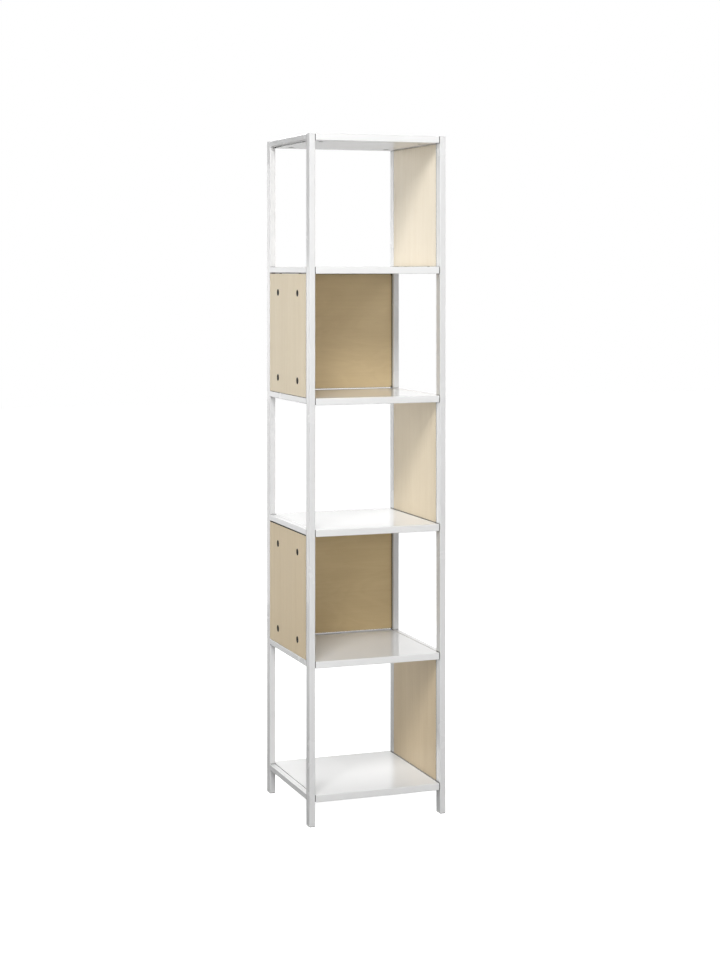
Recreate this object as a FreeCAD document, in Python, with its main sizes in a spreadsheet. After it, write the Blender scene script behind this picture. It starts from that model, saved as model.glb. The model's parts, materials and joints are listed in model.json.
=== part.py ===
import FreeCAD, Part
import math
import os
import Sketcher

# A tall, narrow open bookshelf: two ladder-like side frames of rectangular steel tube carry six lacquered
# shelf boards, and veneered panels close the right side of bays 1, 3 and 5, and the left side and the back
# of bays 2 and 4. Bay 1 is the top one. A board is held by hexagonal studs on the side rails, which reach
# through bores in its ends into cam locks that are let into its underside. A side panel has the same cam
# locks in its outer face, and hexagonal bolts that slide out of its edges into the rails. A back panel sits
# on short pegs on the rear posts.
#
# Frame: +X to the right as seen from the front, +Y to the rear, +Z up, millimetres. The origin lies on the
# floor, in the middle of the footprint.

# ---------------------------------------------------------------- driving sizes
SIZES = [
    ("unit_height", 1800, "floor to the top of the posts"),
    ("unit_width", 382, "over the outer faces of the side frames"),
    ("unit_depth", 370, "over the front and rear faces of the posts"),
    ("tube_width", 16, "post and rail section along X"),
    ("post_depth", 28, "post section along Y"),
    ("rail_height", 16, "rail section along Z"),
    ("tube_wall", 1.5, "wall of posts and rails"),
    ("post_corner", 2, "outer corner radius of the posts"),
    ("rail_chamfer", 1.2, "outer long edges of the rails"),
    ("lowest_shelf_height", 81, "floor to the top of the lowest shelf"),
    ("end_bay_spacing", 347, "shelf to shelf in the top bay and in the lowest bay"),
    ("shelf_thickness", 18, "shelf board"),
    ("shelf_setback", 0.5, "shelf board's front edge behind the posts' front faces"),
    ("shelf_end_gap", 1.5, "shelf board's end to the side rail"),
    ("edge_chamfer", 1, "eased edges of the shelf boards"),
    ("panel_thickness", 16, "side and back panels"),
    ("side_panel_top_gap", 2.5, "side panel to the rail above it"),
    ("side_panel_bottom_gap", 0.9, "side panel to the rail below it"),
    ("side_panel_post_gap", 1, "side panel to each post"),
    ("back_panel_end_gap", 0.8, "back panel to each rear post"),
    ("back_panel_shelf_gap", 0.9, "back panel to the shelves above and below it"),
    ("cam_radius", 9, "cam housing"),
    ("cam_bore_clearance", 0.1, "cam housing to its bore, radial"),
    ("cam_sunk", 0.8, "cam face below the board's face"),
    ("cam_beyond_bar", 5, "cam housing beyond the hexagonal bar's axis"),
    ("cam_bore_floor_gap", 0.5, "cam housing's inner end to the bore's floor"),
    ("cam_mouth_clearance", 0.4, "cam mouth around the bar's end, each side"),
    ("shelf_cam_reach", 34, "shelf board's end to the cam's axis"),
    ("shelf_cam_inset", 60, "shelf board's front or rear edge to the cam's axis"),
    ("panel_cam_reach_top", 51, "side panel's top edge to the upper cams' axis"),
    ("panel_cam_reach_bottom", 40, "side panel's bottom edge to the lower cams' axis"),
    ("panel_cam_inset", 72, "side panel's front or rear edge to the cam's axis"),
    ("bar_flats", 5.5, "hexagonal bar of studs, bolts and pegs, across flats"),
    ("bar_bore_clearance", 0.3, "bar to its bore in a board's edge, each side"),
    ("bar_hole_clearance", 0.1, "sliding bolt to its hole in the tube wall, each side"),
    ("bolt_throw", 7, "sliding bolt beyond the tube's face, inside the tube"),
    ("peg_length", 20, "peg beyond the rear post's inner face"),
    ("peg_bore_floor_gap", 1, "peg's end to its bore's floor"),
    ("peg_inset", 60, "back panel's top or bottom edge to the peg's axis"),
    ("foot_height", 5, "foot's flange below the post"),
    ("foot_chamfer", 1.8, "upright and lower edges of the foot's flange"),
    ("plug_length", 22, "foot's plug inside the post"),
    ("plug_clearance", 0.1, "foot's plug and top plug to the tube wall"),
    ("top_plug_length", 12, "top plug inside the post"),
]

doc = FreeCAD.newDocument("SpineBookshelf")
sheet = doc.addObject("Spreadsheet::Sheet", "Sizes")
for row, (alias, number, meaning) in enumerate(SIZES, start=1):
    sheet.set(f"A{row}", meaning)
    sheet.set(f"B{row}", str(number))
    sheet.setAlias(f"B{row}", alias)
doc.recompute()

# ---------------------------------------------------------------- derived sizes, as expressions
POST_X = "((Sizes.unit_width - Sizes.tube_width) / 2)"
POST_Y = "((Sizes.unit_depth - Sizes.post_depth) / 2)"
INNER_WIDTH = "(Sizes.unit_width - 2 * Sizes.tube_width)"
INNER_DEPTH = "(Sizes.unit_depth - 2 * Sizes.post_depth)"
MIDDLE_SPACING = "((Sizes.unit_height - Sizes.lowest_shelf_height - 2 * Sizes.end_bay_spacing) / 3)"

SHELF_LENGTH = f"({INNER_WIDTH} - 2 * Sizes.shelf_end_gap)"
SHELF_DEPTH = "(Sizes.unit_depth - Sizes.shelf_setback)"
SHELF_Y = "(Sizes.shelf_setback / 2)"
SHELF_CAM_X = f"({SHELF_LENGTH} / 2 - Sizes.shelf_cam_reach)"
SHELF_CAM_Y = f"({SHELF_DEPTH} / 2 - Sizes.shelf_cam_inset)"
SHELF_BAR_DEPTH = "(Sizes.shelf_thickness - Sizes.rail_height / 2)"

PANEL_BAR_DEPTH = "(Sizes.panel_thickness / 2)"
SIDE_PANEL_X = "((Sizes.unit_width - Sizes.panel_thickness) / 2)"
SIDE_PANEL_DEPTH = f"({INNER_DEPTH} - 2 * Sizes.side_panel_post_gap)"
SIDE_CAM_Y = f"({SIDE_PANEL_DEPTH} / 2 - Sizes.panel_cam_inset)"
BACK_PANEL_Y = "((Sizes.unit_depth - Sizes.panel_thickness) / 2)"
BACK_PANEL_LENGTH = f"({INNER_WIDTH} - 2 * Sizes.back_panel_end_gap)"

CAM_BORE_RADIUS = "(Sizes.cam_radius + Sizes.cam_bore_clearance)"
BORE_FLATS = "(Sizes.bar_flats + 2 * Sizes.bar_bore_clearance)"
HOLE_FLATS = "(Sizes.bar_flats + 2 * Sizes.bar_hole_clearance)"
MOUTH_WIDTH = "(Sizes.bar_flats + 2 * Sizes.cam_mouth_clearance)"
PLUG_INSET = "(2 * (Sizes.tube_wall + Sizes.plug_clearance))"

LEVELS = range(1, 7)
CAM_SIDES = 16
PANEL_BAYS = {"left": (2, 4), "right": (1, 3, 5)}
BACK_PANEL_BAYS = (2, 4)
SIDE_SIGN = {"left": -1, "right": 1}
END_SIGN = {"front": -1, "rear": 1}


def shelf_top(level):
    """Height of a shelf's top face; level 1 is the top shelf and level 6 the lowest."""
    if level == 1:
        return "Sizes.unit_height"
    if level == 6:
        return "Sizes.lowest_shelf_height"
    return f"(Sizes.unit_height - Sizes.end_bay_spacing - {level - 2} * {MIDDLE_SPACING})"


def rail_bottom(level):
    return f"({shelf_top(level)} - Sizes.rail_height)"


def shelf_bottom(level):
    return f"({shelf_top(level)} - Sizes.shelf_thickness)"


def side_panel_bottom(bay):
    """A side panel stands between the rail of its own level and the next one down."""
    return f"({shelf_top(bay + 1)} + Sizes.side_panel_bottom_gap)"


def side_panel_height(bay):
    return f"({rail_bottom(bay)} - Sizes.side_panel_top_gap - {side_panel_bottom(bay)})"


def back_panel_bottom(bay):
    return f"({shelf_top(bay + 1)} + Sizes.back_panel_shelf_gap)"


def back_panel_height(bay):
    return f"({shelf_bottom(bay)} - Sizes.back_panel_shelf_gap - {back_panel_bottom(bay)})"


def value(expression):
    """The number that an expression has now."""
    result = sheet.evalExpression(expression)
    return float(getattr(result, "Value", result))


# ---------------------------------------------------------------- sketches
def new_body(name):
    body = doc.addObject("PartDesign::Body", name)
    body.Label = name
    return body


def origin_plane(body, role):
    return next(feature for feature in body.Origin.OriginFeatures if feature.Role == role)


def new_sketch(body, name, role, offset=None):
    """A sketch on one of the body's own origin planes, moved along the plane's normal by offset."""
    sketch = body.newObject("Sketcher::SketchObject", f"{body.Name}_{name}")
    sketch.AttachmentSupport = (origin_plane(body, role), [""])
    sketch.MapMode = "FlatFace"
    if offset:
        sketch.setExpression("AttachmentOffset.Base.z", offset)
    return sketch


def dimension(sketch, kind, expression, *elements):
    """Add one dimension and bind it to its expression."""
    index = sketch.addConstraint(Sketcher.Constraint(kind, *elements, value(expression)))
    sketch.setExpression(f"Constraints[{index}]", expression)


def draw_closed_outline(sketch, corners):
    """Join the corners with straight lines and return the index of the first one."""
    first = sketch.GeometryCount
    for index, corner in enumerate(corners):
        following = corners[(index + 1) % len(corners)]
        sketch.addGeometry(Part.LineSegment(corner, following), False)
    for index in range(len(corners)):
        following = first + (index + 1) % len(corners)
        sketch.addConstraint(Sketcher.Constraint("Coincident", first + index, 2, following, 1))
    return first


def draw_rectangle(sketch, width, height, centre_x="0", centre_y="0"):
    half_width = value(width) / 2
    half_height = value(height) / 2
    corners = [
        FreeCAD.Vector(value(centre_x) + sign_x * half_width, value(centre_y) + sign_y * half_height, 0)
        for sign_x, sign_y in ((-1, -1), (1, -1), (1, 1), (-1, 1))
    ]
    first = draw_closed_outline(sketch, corners)
    for index, kind in enumerate(("Horizontal", "Vertical", "Horizontal", "Vertical")):
        sketch.addConstraint(Sketcher.Constraint(kind, first + index))
    dimension(sketch, "DistanceX", width, first, 1, first, 2)
    dimension(sketch, "DistanceY", height, first + 1, 1, first + 1, 2)
    dimension(sketch, "DistanceX", f"{centre_x} - {width} / 2", -1, 1, first, 1)
    dimension(sketch, "DistanceY", f"{centre_y} - {height} / 2", -1, 1, first, 1)


def draw_circle(sketch, radius, centre_x="0", centre_y="0", construction=False):
    centre = FreeCAD.Vector(value(centre_x), value(centre_y), 0)
    outline = Part.Circle(centre, FreeCAD.Vector(0, 0, 1), value(radius))
    circle = sketch.addGeometry(outline, construction)
    dimension(sketch, "Radius", radius, circle)
    dimension(sketch, "DistanceX", centre_x, -1, 1, circle, 3)
    dimension(sketch, "DistanceY", centre_y, -1, 1, circle, 3)
    return circle


def draw_polygon(sketch, sides, radius, centre_x="0", centre_y="0", upright=False):
    """A regular polygon, radius out to its corners, with its first side level or upright."""
    circle = draw_circle(sketch, radius, centre_x, centre_y, construction=True)
    centre = FreeCAD.Vector(value(centre_x), value(centre_y), 0)
    start = (180 if upright else 270) - 180 / sides
    corners = []
    for index in range(sides):
        angle = math.radians(start + 360 * index / sides)
        corners.append(centre + FreeCAD.Vector(math.cos(angle), math.sin(angle), 0) * value(radius))
    first = draw_closed_outline(sketch, corners)
    for index in range(sides):
        sketch.addConstraint(Sketcher.Constraint("PointOnObject", first + index, 1, circle))
    for index in range(1, sides):
        sketch.addConstraint(Sketcher.Constraint("Equal", first, first + index))
    sketch.addConstraint(Sketcher.Constraint("Vertical" if upright else "Horizontal", first))


def draw_hexagon(sketch, flats, centre_x="0", centre_y="0", upright=False):
    """A hexagon whose opposite sides lie flats apart."""
    draw_polygon(sketch, 6, f"({flats} / sqrt(3))", centre_x, centre_y, upright)


def draw_cam_outline(sketch, radius, centre_x="0", centre_y="0"):
    """The many-sided outline of a cam housing, and of its bore in a shelf's underside."""
    draw_polygon(sketch, CAM_SIDES, radius, centre_x, centre_y)


# ---------------------------------------------------------------- features
def add_pad(body, sketch, length, midplane=False):
    pad = body.newObject("PartDesign::Pad", f"{sketch.Name}_pad")
    pad.Profile = sketch
    pad.Midplane = midplane
    pad.setExpression("Length", length)
    sketch.Visibility = False
    doc.recompute()
    return pad


def add_pocket(body, sketch, length, along_normal):
    """Cut the sketch into the body, along its plane's normal or against it."""
    before = body.Shape.Volume
    pocket = body.newObject("PartDesign::Pocket", f"{sketch.Name}_pocket")
    pocket.Profile = sketch
    pocket.Reversed = along_normal
    pocket.setExpression("Length", length)
    sketch.Visibility = False
    doc.recompute()
    expected = sketch_area(sketch) * value(length)
    if abs(before - body.Shape.Volume) < expected / 10:
        raise RuntimeError(f"{body.Label}: {pocket.Name} cuts too little")
    return pocket


def sketch_area(sketch):
    return sum(Part.Face(wire).Area for wire in sketch.Shape.Wires)


def add_mirror(body, name, features, role):
    """Repeat features on the other side of one of the body's origin planes."""
    mirror = body.newObject("PartDesign::Mirrored", f"{body.Name}_{name}")
    mirror.Originals = features
    mirror.MirrorPlane = (origin_plane(body, role), [""])
    body.Tip = mirror
    doc.recompute()


def dress_edges(body, kind, size_property, size, accept):
    """Fillet or chamfer the body's straight edges whose direction and middle point are accepted."""
    base = body.Tip
    names = []
    for index, edge in enumerate(base.Shape.Edges, start=1):
        if edge.Curve.TypeId != "Part::GeomLine":
            continue
        start, end = edge.Vertexes[0].Point, edge.Vertexes[1].Point
        if accept((end - start).normalize(), (start + end) / 2):
            names.append(f"Edge{index}")
    feature = body.newObject(f"PartDesign::{kind}", f"{body.Name}_{kind.lower()}")
    feature.Base = (base, names)
    feature.setExpression(size_property, size)
    body.Tip = feature
    doc.recompute()


def place(piece, centre_x, centre_y, centre_z):
    piece.setExpression("Placement.Base.x", centre_x)
    piece.setExpression("Placement.Base.y", centre_y)
    piece.setExpression("Placement.Base.z", centre_z)


# ---------------------------------------------------------------- side frames
def make_tube(name, plane, width, height, length, midplane=False):
    """A rectangular tube along its plane's normal."""
    body = new_body(name)
    section = new_sketch(body, "section", plane)
    draw_rectangle(section, width, height)
    draw_rectangle(section, f"({width} - 2 * Sizes.tube_wall)", f"({height} - 2 * Sizes.tube_wall)")
    add_pad(body, section, length, midplane)
    return body


def outer_long_edge(width, height):
    """Accepts the tube's four outer long edges, by their distance from its middle line."""
    distance = math.hypot(value(width) / 2, value(height) / 2)

    def accept(direction, middle):
        along = direction * middle.dot(direction)
        return abs((middle - along).Length - distance) < 0.01

    return accept


def make_post(side, end):
    """An upright tube, open at both ends, that stands on its foot."""
    section = ("Sizes.tube_width", "Sizes.post_depth")
    body = make_tube(f"{side}_{end}_post", "XY_Plane", *section, "Sizes.unit_height - Sizes.foot_height")
    dress_edges(body, "Fillet", "Radius", "Sizes.post_corner", outer_long_edge(*section))
    place(body, f"{SIDE_SIGN[side]} * {POST_X}", f"{END_SIGN[end]} * {POST_Y}", "Sizes.foot_height")
    return body


def make_rail(side, level):
    """A side rail between two posts, with holes for the bolts of a side panel above or below it."""
    section = ("Sizes.tube_width", "Sizes.rail_height")
    body = make_tube(f"{side}_rail_{level}", "XZ_Plane", *section, INNER_DEPTH, midplane=True)
    dress_edges(body, "Chamfer", "Size", "Sizes.rail_chamfer", outer_long_edge(*section))
    if level in PANEL_BAYS[side]:
        holes = new_sketch(body, "lower_holes", "XY_Plane", "-1 * Sizes.rail_height / 2")
        draw_pair(holes, draw_hexagon, HOLE_FLATS, "0", SIDE_CAM_Y)
        add_pocket(body, holes, "Sizes.tube_wall", along_normal=True)
    if level - 1 in PANEL_BAYS[side]:
        holes = new_sketch(body, "upper_holes", "XY_Plane", "Sizes.rail_height / 2")
        draw_pair(holes, draw_hexagon, HOLE_FLATS, "0", SIDE_CAM_Y)
        add_pocket(body, holes, "Sizes.tube_wall", along_normal=False)
    place(body, f"{SIDE_SIGN[side]} * {POST_X}", "0", f"{shelf_top(level)} - Sizes.rail_height / 2")
    return body


def draw_pair(sketch, draw, size, centre_x, centre_y):
    """Draw one outline at centre_y and one at minus centre_y."""
    draw(sketch, size, centre_x, centre_y)
    draw(sketch, size, centre_x, f"-1 * {centre_y}")


def draw_plug_outline(sketch):
    draw_rectangle(sketch, f"(Sizes.tube_width - {PLUG_INSET})", f"(Sizes.post_depth - {PLUG_INSET})")


def make_foot(side, end):
    """A plastic foot: a flange under the post, with a plug that is driven into it."""
    body = new_body(f"{side}_{end}_foot")
    flange = new_sketch(body, "flange", "XY_Plane")
    draw_rectangle(flange, "Sizes.tube_width", "Sizes.post_depth")
    add_pad(body, flange, "Sizes.foot_height")
    below_top = value("Sizes.foot_height") - 0.01
    dress_edges(body, "Chamfer", "Size", "Sizes.foot_chamfer", lambda way, middle: middle.z < below_top)
    plug = new_sketch(body, "plug", "XY_Plane", "Sizes.foot_height")
    draw_plug_outline(plug)
    add_pad(body, plug, "Sizes.plug_length")
    place(body, f"{SIDE_SIGN[side]} * {POST_X}", f"{END_SIGN[end]} * {POST_Y}", "0")
    return body


def make_top_plug(side, end):
    """A plug that closes the post's upper mouth flush with its end."""
    body = new_body(f"{side}_{end}_top_plug")
    outline = new_sketch(body, "outline", "XY_Plane")
    draw_plug_outline(outline)
    add_pad(body, outline, "Sizes.top_plug_length")
    bottom = "Sizes.unit_height - Sizes.top_plug_length"
    place(body, f"{SIDE_SIGN[side]} * {POST_X}", f"{END_SIGN[end]} * {POST_Y}", bottom)
    return body


# ---------------------------------------------------------------- boards and panels
def cam_bore_depth(bar_depth):
    """Depth of a cam bore whose bar lies bar_depth below the board's bored face."""
    return f"({bar_depth} + Sizes.cam_beyond_bar + Sizes.cam_bore_floor_gap)"


def make_shelf(level):
    """A shelf board with eased edges, cam bores in its underside and stud bores in its ends."""
    body = new_body(f"shelf_{level}")
    outline = new_sketch(body, "outline", "XY_Plane")
    draw_rectangle(outline, SHELF_LENGTH, SHELF_DEPTH)
    add_pad(body, outline, "Sizes.shelf_thickness")
    dress_edges(body, "Chamfer", "Size", "Sizes.edge_chamfer", lambda way, middle: True)

    cam_bores = new_sketch(body, "cam_bores", "XY_Plane")
    draw_pair(cam_bores, draw_cam_outline, CAM_BORE_RADIUS, SHELF_CAM_X, SHELF_CAM_Y)
    cam_pocket = add_pocket(body, cam_bores, cam_bore_depth(SHELF_BAR_DEPTH), along_normal=True)
    stud_bores = new_sketch(body, "stud_bores", "YZ_Plane", f"{SHELF_LENGTH} / 2")
    draw_hexagon(stud_bores, BORE_FLATS, SHELF_CAM_Y, SHELF_BAR_DEPTH, upright=True)
    draw_hexagon(stud_bores, BORE_FLATS, f"-1 * {SHELF_CAM_Y}", SHELF_BAR_DEPTH, upright=True)
    stud_pocket = add_pocket(body, stud_bores, "Sizes.shelf_cam_reach", along_normal=False)
    add_mirror(body, "other_end", [cam_pocket, stud_pocket], "YZ_Plane")
    place(body, "0", SHELF_Y, shelf_bottom(level))
    return body


def make_side_panel(side, bay):
    """A side panel between four tubes, flush with the frame, with its cam bores in the outer face."""
    body = new_body(f"{side}_panel_{bay}")
    height = side_panel_height(bay)
    outline = new_sketch(body, "outline", "YZ_Plane")
    draw_rectangle(outline, SIDE_PANEL_DEPTH, height, "0", f"{height} / 2")
    add_pad(body, outline, "Sizes.panel_thickness", midplane=True)

    cam_bores = new_sketch(body, "cam_bores", "YZ_Plane", f"{SIDE_SIGN[side]} * Sizes.panel_thickness / 2")
    for sign in (-1, 1):
        centre_y = f"{sign} * {SIDE_CAM_Y}"
        draw_circle(cam_bores, CAM_BORE_RADIUS, centre_y, "Sizes.panel_cam_reach_bottom")
        draw_circle(cam_bores, CAM_BORE_RADIUS, centre_y, f"{height} - Sizes.panel_cam_reach_top")
    add_pocket(body, cam_bores, cam_bore_depth(PANEL_BAR_DEPTH), along_normal=side == "left")

    lower_bores = new_sketch(body, "lower_bores", "XY_Plane")
    draw_pair(lower_bores, draw_hexagon, BORE_FLATS, "0", SIDE_CAM_Y)
    add_pocket(body, lower_bores, "Sizes.panel_cam_reach_bottom", along_normal=True)
    upper_bores = new_sketch(body, "upper_bores", "XY_Plane", height)
    draw_pair(upper_bores, draw_hexagon, BORE_FLATS, "0", SIDE_CAM_Y)
    add_pocket(body, upper_bores, "Sizes.panel_cam_reach_top", along_normal=False)
    place(body, f"{SIDE_SIGN[side]} * {SIDE_PANEL_X}", "0", side_panel_bottom(bay))
    return body


def peg_heights(bay):
    """Heights above the floor of the lower and the upper pegs of a back panel."""
    lower = f"({back_panel_bottom(bay)} + Sizes.peg_inset)"
    upper = f"({back_panel_bottom(bay)} + {back_panel_height(bay)} - Sizes.peg_inset)"
    return lower, upper


def make_back_panel(bay):
    """A back panel between the rear posts, flush with their rear faces, with peg bores in its ends."""
    body = new_body(f"back_panel_{bay}")
    height = back_panel_height(bay)
    outline = new_sketch(body, "outline", "XZ_Plane")
    draw_rectangle(outline, BACK_PANEL_LENGTH, height, "0", f"{height} / 2")
    add_pad(body, outline, "Sizes.panel_thickness", midplane=True)
    bores = new_sketch(body, "peg_bores", "YZ_Plane", f"{BACK_PANEL_LENGTH} / 2")
    draw_hexagon(bores, BORE_FLATS, "0", "Sizes.peg_inset", upright=True)
    draw_hexagon(bores, BORE_FLATS, "0", f"({height} - Sizes.peg_inset)", upright=True)
    depth = "Sizes.peg_length - Sizes.back_panel_end_gap + Sizes.peg_bore_floor_gap"
    pocket = add_pocket(body, bores, depth, along_normal=False)
    add_mirror(body, "other_end", [pocket], "YZ_Plane")
    place(body, "0", BACK_PANEL_Y, back_panel_bottom(bay))
    return body


# ---------------------------------------------------------------- cam locks and hexagonal bars
def make_cam_lock(name, bar_depth):
    """A cam housing with a mouth that takes the bar's end.

    Its face lies at the origin and looks along -Z, and the bar enters from +X."""
    body = new_body(name)
    length = f"({bar_depth} - Sizes.cam_sunk + Sizes.cam_beyond_bar)"
    outline = new_sketch(body, "outline", "XY_Plane")
    draw_cam_outline(outline, "Sizes.cam_radius")
    add_pad(body, outline, length)
    mouth = new_sketch(body, "mouth", "XY_Plane", length)
    reach = f"(Sizes.cam_radius + {MOUTH_WIDTH} / 2)"
    draw_rectangle(mouth, reach, MOUTH_WIDTH, f"({reach} / 2 - {MOUTH_WIDTH} / 2)")
    add_pocket(body, mouth, f"Sizes.cam_beyond_bar + {MOUTH_WIDTH} / 2", along_normal=False)
    return body


def make_bar(name, start, reach):
    """A hexagonal bar along +X, from start to reach beyond the tube's face at the origin."""
    body = new_body(name)
    section = new_sketch(body, "section", "YZ_Plane", start)
    draw_hexagon(section, "Sizes.bar_flats", upright=True)
    add_pad(body, section, f"{reach} - ({start})")
    return body


def make_group(name, copies):
    """One node of like pieces: links to master bodies, each with its own turn and place."""
    links = []
    for index, (master, rotation, centre_x, centre_y, centre_z) in enumerate(copies):
        link = doc.addObject("App::Link", f"{name}_{index}")
        link.LinkedObject = master
        link.LinkTransform = False
        link.Placement = FreeCAD.Placement(FreeCAD.Vector(), rotation)
        place(link, centre_x, centre_y, centre_z)
        links.append(link)
    group = doc.addObject("Part::Compound", name)
    group.Label = name
    group.Links = links
    return group


def turn(x_axis, z_axis):
    """The rotation that takes a piece's own X and Z to the given directions."""
    x_way = FreeCAD.Vector(*x_axis)
    z_way = FreeCAD.Vector(*z_axis)
    return FreeCAD.Rotation(x_way, z_way.cross(x_way), z_way, "ZXY")


def make_shelf_fasteners():
    """Cam locks in the shelf boards' undersides and studs on the rails' inner faces."""
    cam = make_cam_lock("shelf_cam", SHELF_BAR_DEPTH)
    stud = make_bar("shelf_stud", "0", "Sizes.shelf_end_gap + Sizes.shelf_cam_reach")
    cams = []
    studs = []
    for level in LEVELS:
        cam_z = f"{shelf_bottom(level)} + Sizes.cam_sunk"
        stud_z = f"{shelf_bottom(level)} + {SHELF_BAR_DEPTH}"
        for side in (-1, 1):
            for end in (-1, 1):
                centre_y = f"{SHELF_Y} + {end} * {SHELF_CAM_Y}"
                cam_turn = turn((side, 0, 0), (0, 0, 1))
                cams.append((cam, cam_turn, f"{side} * {SHELF_CAM_X}", centre_y, cam_z))
                stud_turn = turn((-side, 0, 0), (0, 0, 1))
                studs.append((stud, stud_turn, f"{side} * {INNER_WIDTH} / 2", centre_y, stud_z))
    return [make_group("shelf_cam_locks", cams), make_group("shelf_studs", studs)]


def make_side_panel_fasteners():
    """Cam locks in the side panels' outer faces and bolts from them into the rails."""
    cam = make_cam_lock("panel_cam", PANEL_BAR_DEPTH)
    into_tube = "-1 * Sizes.bolt_throw"
    lower_reach = "Sizes.side_panel_bottom_gap + Sizes.panel_cam_reach_bottom"
    upper_reach = "Sizes.side_panel_top_gap + Sizes.panel_cam_reach_top"
    lower_bolt = make_bar("lower_bolt", into_tube, lower_reach)
    upper_bolt = make_bar("upper_bolt", into_tube, upper_reach)
    cams = []
    bolts = []
    for side, bays in PANEL_BAYS.items():
        sign = SIDE_SIGN[side]
        cam_x = f"{sign} * (Sizes.unit_width / 2 - Sizes.cam_sunk)"
        bolt_x = f"{sign} * {SIDE_PANEL_X}"
        for bay in bays:
            lower_z = f"{side_panel_bottom(bay)} + Sizes.panel_cam_reach_bottom"
            upper_z = f"{rail_bottom(bay)} - Sizes.side_panel_top_gap - Sizes.panel_cam_reach_top"
            for end in (-1, 1):
                centre_y = f"{end} * {SIDE_CAM_Y}"
                cams.append((cam, turn((0, 0, -1), (-sign, 0, 0)), cam_x, centre_y, lower_z))
                cams.append((cam, turn((0, 0, 1), (-sign, 0, 0)), cam_x, centre_y, upper_z))
                up, down = turn((0, 0, 1), (1, 0, 0)), turn((0, 0, -1), (1, 0, 0))
                bolts.append((lower_bolt, up, bolt_x, centre_y, shelf_top(bay + 1)))
                bolts.append((upper_bolt, down, bolt_x, centre_y, rail_bottom(bay)))
    return [make_group("side_panel_cam_locks", cams), make_group("side_panel_bolts", bolts)]


def make_back_panel_fasteners():
    """Pegs on the rear posts' inner faces."""
    peg = make_bar("peg", "0", "Sizes.peg_length")
    pegs = []
    for bay in BACK_PANEL_BAYS:
        for height in peg_heights(bay):
            for side in (-1, 1):
                peg_turn = turn((-side, 0, 0), (0, 0, 1))
                pegs.append((peg, peg_turn, f"{side} * {INNER_WIDTH} / 2", BACK_PANEL_Y, height))
    return [make_group("back_panel_pegs", pegs)]


# ---------------------------------------------------------------- build
pieces = []
for side_name in SIDE_SIGN:
    for end_name in END_SIGN:
        pieces.append(make_post(side_name, end_name))
        pieces.append(make_foot(side_name, end_name))
        pieces.append(make_top_plug(side_name, end_name))
    for level_number in LEVELS:
        pieces.append(make_rail(side_name, level_number))
    for bay_number in PANEL_BAYS[side_name]:
        pieces.append(make_side_panel(side_name, bay_number))
for level_number in LEVELS:
    pieces.append(make_shelf(level_number))
for bay_number in BACK_PANEL_BAYS:
    pieces.append(make_back_panel(bay_number))
pieces.extend(make_shelf_fasteners())
pieces.extend(make_side_panel_fasteners())
pieces.extend(make_back_panel_fasteners())
doc.recompute()

# ---------------------------------------------------------------- check and write
for item in doc.Objects:
    if "Invalid" in item.State or "Error" in item.State:
        raise RuntimeError(f"{item.Label} failed: {item.State}")
for piece in pieces:
    if piece.Shape.isNull() or not piece.Shape.isValid():
        raise RuntimeError(f"{piece.Label} has no valid shape")

os.makedirs("parts", exist_ok=True)
for piece in pieces:
    piece.Shape.exportStep(f"parts/{piece.Label}.step")
print(f"{len(pieces)} nodes, {sum(len(piece.Shape.Solids) for piece in pieces)} solids")
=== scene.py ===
# %% [markdown]
# # A tall open bookshelf of steel tube, lacquered board and birch veneer
# The solids of this bookshelf come from a CAD model. This lesson gives them their finishes, adds the small
# pieces that are easier to model as meshes, and sets up a plain studio around them. Everything is in metres:
# +X is the right side, +Y the rear and +Z up, with the origin on the floor under the middle of the shelf.

# %% Load the solids
import bmesh
import bpy
import json
import math
from mathutils import Matrix, Vector


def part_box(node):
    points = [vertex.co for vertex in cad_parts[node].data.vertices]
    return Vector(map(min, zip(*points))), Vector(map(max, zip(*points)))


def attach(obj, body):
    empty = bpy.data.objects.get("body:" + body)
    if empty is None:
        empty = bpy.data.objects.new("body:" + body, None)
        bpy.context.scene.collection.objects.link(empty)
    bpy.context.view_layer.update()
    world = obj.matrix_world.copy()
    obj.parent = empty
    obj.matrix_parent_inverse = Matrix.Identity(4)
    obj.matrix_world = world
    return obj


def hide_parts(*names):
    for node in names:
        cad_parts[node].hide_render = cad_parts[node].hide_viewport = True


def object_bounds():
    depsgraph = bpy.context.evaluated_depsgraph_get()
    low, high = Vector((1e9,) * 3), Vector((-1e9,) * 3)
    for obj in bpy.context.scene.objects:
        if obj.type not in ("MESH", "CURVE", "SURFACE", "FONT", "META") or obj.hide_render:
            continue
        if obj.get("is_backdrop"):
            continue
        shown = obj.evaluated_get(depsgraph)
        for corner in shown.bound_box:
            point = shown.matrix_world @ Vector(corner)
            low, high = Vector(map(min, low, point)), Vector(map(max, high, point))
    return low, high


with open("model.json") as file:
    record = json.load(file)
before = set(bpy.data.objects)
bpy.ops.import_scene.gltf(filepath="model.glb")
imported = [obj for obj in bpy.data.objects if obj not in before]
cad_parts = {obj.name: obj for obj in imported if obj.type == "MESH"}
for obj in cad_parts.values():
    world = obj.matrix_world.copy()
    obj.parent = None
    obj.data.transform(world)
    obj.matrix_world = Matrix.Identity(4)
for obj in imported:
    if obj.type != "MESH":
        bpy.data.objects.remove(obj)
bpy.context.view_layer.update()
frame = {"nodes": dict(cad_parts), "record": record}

# %% [markdown]
# ## Camera
# The bookshelf is looked at from the front, a little from its left, from chest height, with the camera held
# level so that all uprights stay parallel. A level camera would put the horizon in the middle of the image,
# so the lens is shifted downwards, as a photographer does with a shift lens, to get the feet into the frame.

# %% Camera
IMAGE_HEIGHT = 960
FOCAL_PIXELS = 1906.0
SENSOR_WIDTH = 36.0
HORIZON_ROW = 270
CAMERA_PLACE = (-1.7668, -4.8653, 1.4447)
CAMERA_HEADING = -20.126

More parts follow.
